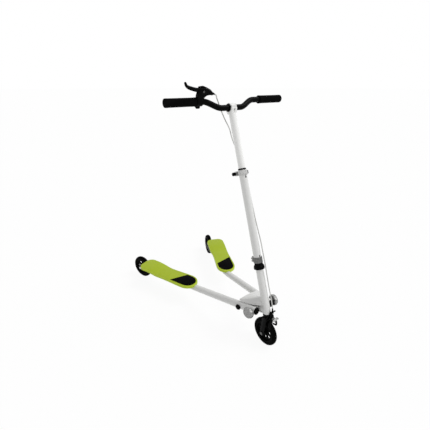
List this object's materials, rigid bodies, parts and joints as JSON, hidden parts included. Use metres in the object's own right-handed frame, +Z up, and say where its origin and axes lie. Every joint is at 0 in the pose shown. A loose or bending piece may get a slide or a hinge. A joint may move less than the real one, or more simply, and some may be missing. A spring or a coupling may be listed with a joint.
{
  "type": "three-wheel kick scooter",
  "caption": "Kick scooter with one steered front wheel, two swinging arms with foot decks and rear wheels, a height-adjustable handlebar and a hand lever for the front brake.",
  "frame": {"origin": "on the ground, under the middle of the bounding box", "axes": "+Z up, -Y the way the scooter rolls, +X the rider's left"},
  "size_m": [0.5556, 0.91, 1.0599],
  "materials": {
    "white_paint": "gloss",
    "black_steel": "satin",
    "steel": "zinc plated",
    "cast_alloy": "satin",
    "dark_alloy": "satin",
    "black_plastic": "moulded",
    "lime_plastic": "moulded",
    "wheel_rubber": "satin",
    "grip_rubber": "matte",
    "cable_casing": "satin"
  },
  "bodies": {
    "frame": {"neck_frame": "white_paint", "headset_upper_cup": "black_steel", "headset_lower_cup": "black_steel", "arm_pivot_bolt_right": "steel", "arm_pivot_bolt_left": "steel"},
    "steering_column": {"fork": "black_steel", "front_axle": "steel", "headset_bearing_lower": "steel", "headset_bearing_upper": "steel", "headset_cover": "black_plastic", "lower_stem_tube": "white_paint", "stem_clamp": "cast_alloy", "stem_clamp_bolt_lower": "steel", "stem_clamp_bolt_upper": "steel", "stem_bush": "black_plastic", "height_clamp": "cast_alloy", "height_clamp_rod": "steel", "caliper_bolt": "steel", "brake_cable": "cable_casing"},
    "front_wheel": {"front_tyre": "wheel_rubber", "front_wheel_core": "black_plastic"},
    "bar_stem": {"upper_stem_tube": "white_paint", "head_clamp_cap": "white_paint", "head_clamp_bolt_front": "steel", "head_clamp_bolt_rear": "steel", "bar_shim": "black_plastic", "handlebar": "black_steel", "grip_right": "grip_rubber", "grip_left": "grip_rubber", "brake_bracket": "black_plastic", "brake_lever_pin": "steel", "lever_adjuster": "black_plastic"},
    "height_lever": {"height_lever": "dark_alloy"},
    "brake_lever": {"brake_lever": "dark_alloy"},
    "caliper_left": {"caliper_arm_left": "black_steel", "brake_pad_left": "grip_rubber", "caliper_adjuster": "black_plastic"},
    "caliper_right": {"caliper_arm_right": "cast_alloy", "brake_pad_right": "grip_rubber", "cable_anchor": "steel"},
    "arm_right": {"arm_tube_right": "white_paint", "arm_knuckle_right": "steel", "arm_plug_right": "black_plastic", "arm_bolt_right": "black_plastic", "deck_right": "lime_plastic", "deck_inlay_right": "grip_rubber", "rear_axle_right": "steel"},
    "arm_left": {"arm_tube_left": "white_paint", "arm_knuckle_left": "steel", "arm_plug_left": "black_plastic", "arm_bolt_left": "black_plastic", "deck_left": "lime_plastic", "deck_inlay_left": "grip_rubber", "rear_axle_left": "steel"},
    "knob_right": {"arm_knob_right": "cast_alloy"},
    "knob_left": {"arm_knob_left": "cast_alloy"},
    "rear_wheel_right": {"rear_tyre_right": "wheel_rubber", "rear_wheel_core_right": "black_plastic"},
    "rear_wheel_left": {"rear_tyre_left": "wheel_rubber", "rear_wheel_core_left": "black_plastic"}
  },
  "joints": [
    {"name": "steering", "type": "hinge", "parent": "frame", "child": "steering_column", "pos_m": [0, -0.4288, 0.0625], "axis": [0, 0.3239, 0.9461], "range_deg": [-40, 40]},
    {"name": "front_wheel_spin", "type": "hinge", "parent": "steering_column", "child": "front_wheel", "pos_m": [0, -0.3925, 0.0625], "axis": [1, 0, 0], "continuous": true},
    {"name": "bar_height", "type": "slide", "parent": "steering_column", "child": "bar_stem", "axis": [0, 0.3239, 0.9461], "range_m": [-0.17, 0], "deforming": ["brake_cable"]},
    {"name": "height_lever_open", "type": "hinge", "parent": "steering_column", "child": "height_lever", "pos_m": [0.0187, -0.17239, 0.71882], "axis": [0, 0.3239, 0.9461], "range_deg": [0, 150]},
    {"name": "brake_lever_squeeze", "type": "hinge", "parent": "bar_stem", "child": "brake_lever", "pos_m": [-0.1355, -0.12781, 1.03189], "axis": [0, -0.8434, -0.5373], "range_deg": [0, 18], "stiffness_Nm_per_rad": 0.5},
    {"name": "caliper_left_close", "type": "hinge", "parent": "steering_column", "child": "caliper_left", "pos_m": [0, -0.40046, 0.14528], "axis": [0, 0.9461, -0.3239], "range_deg": [0, 2]},
    {"name": "caliper_right_close", "type": "hinge", "parent": "steering_column", "child": "caliper_right", "pos_m": [0, -0.40046, 0.14528], "axis": [0, -0.9461, 0.3239], "range_deg": [0, 2]},
    {"name": "arm_right_swing", "type": "hinge", "parent": "frame", "child": "arm_right", "pos_m": [-0.0165, -0.3245, 0.17], "axis": [0, 0, 1], "range_deg": [-8, 8]},
    {"name": "arm_left_swing", "type": "hinge", "parent": "frame", "child": "arm_left", "pos_m": [0.0165, -0.3245, 0.17], "axis": [0, 0, -1], "range_deg": [-8, 8]},
    {"name": "knob_right_turn", "type": "hinge", "parent": "arm_right", "child": "knob_right", "pos_m": [-0.01284, -0.34671, 0.1733], "axis": [-0.9867, -0.1628, 0], "continuous": true},
    {"name": "knob_left_turn", "type": "hinge", "parent": "arm_left", "child": "knob_left", "pos_m": [0.01284, -0.34671, 0.1733], "axis": [0.9867, -0.1628, 0], "continuous": true},
    {"name": "rear_wheel_right_spin", "type": "hinge", "parent": "arm_right", "child": "rear_wheel_right", "pos_m": [-0.2331, 0.39514, 0.0625], "axis": [0.9424, 0.3345, 0], "continuous": true},
    {"name": "rear_wheel_left_spin", "type": "hinge", "parent": "arm_left", "child": "rear_wheel_left", "pos_m": [0.2331, 0.39514, 0.0625], "axis": [0.9424, -0.3345, 0], "continuous": true}
  ],
  "couplings": [
    {"joint": "caliper_left_close", "follows": "brake_lever_squeeze", "ratio": 0.1},
    {"joint": "caliper_right_close", "follows": "brake_lever_squeeze", "ratio": 0.1}
  ]
}
